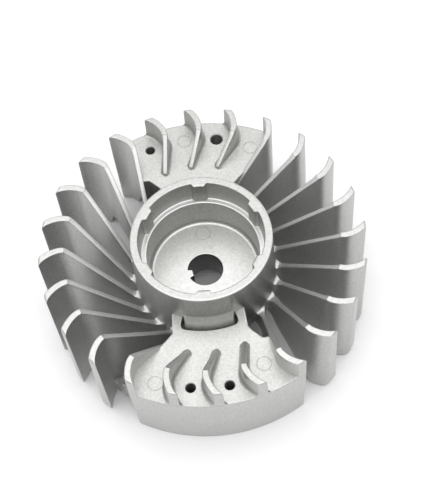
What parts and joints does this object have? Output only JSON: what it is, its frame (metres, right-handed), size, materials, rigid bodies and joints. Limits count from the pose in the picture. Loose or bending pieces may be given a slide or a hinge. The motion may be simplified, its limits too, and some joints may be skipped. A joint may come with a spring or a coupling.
{
  "type": "flywheel",
  "caption": "Die-cast fan flywheel for a small two-stroke engine, with swept cooling fins, a lugged starter cup, a keyed taper bore and a magnet set in its rim.",
  "frame": {"origin": "on the crank axis, in the plane of the lower fin corners and the sectors' lower faces", "axes": "+Z along the crank axis towards the mouth of the starter cup; -Y through the middle of the counterweight's two holes"},
  "size_m": [0.105, 0.105, 0.0404],
  "materials": {
    "cast_aluminium": "satin, fine grainy as-cast skin",
    "magnet_alloy": "dull dark grey",
    "pole_steel": "ground across the laminations",
    "pin_steel": "drawn wire"
  },
  "bodies": {
    "root": {"hub_cup": "cast_aluminium", "counterweight_sector": "cast_aluminium", "magnet_sector": "cast_aluminium", "fin_01": "cast_aluminium", "fin_02": "cast_aluminium", "fin_03": "cast_aluminium", "fin_04": "cast_aluminium", "fin_05": "cast_aluminium", "fin_06": "cast_aluminium", "fin_07": "cast_aluminium", "fin_08": "cast_aluminium", "fin_09": "cast_aluminium", "fin_10": "cast_aluminium", "fin_11": "cast_aluminium", "fin_12": "cast_aluminium", "fin_13": "cast_aluminium", "fin_14": "cast_aluminium", "fin_15": "cast_aluminium", "fin_16": "cast_aluminium", "fin_17": "cast_aluminium", "fin_18": "cast_aluminium", "fin_19": "cast_aluminium", "fin_20": "cast_aluminium", "fin_21": "cast_aluminium", "fin_22": "cast_aluminium", "fin_23": "cast_aluminium", "fin_24": "cast_aluminium", "magnet": "magnet_alloy", "pole_shoe_leading": "pole_steel", "pole_shoe_trailing": "pole_steel", "pole_pins": "pin_steel"}
  },
  "joints": []
}
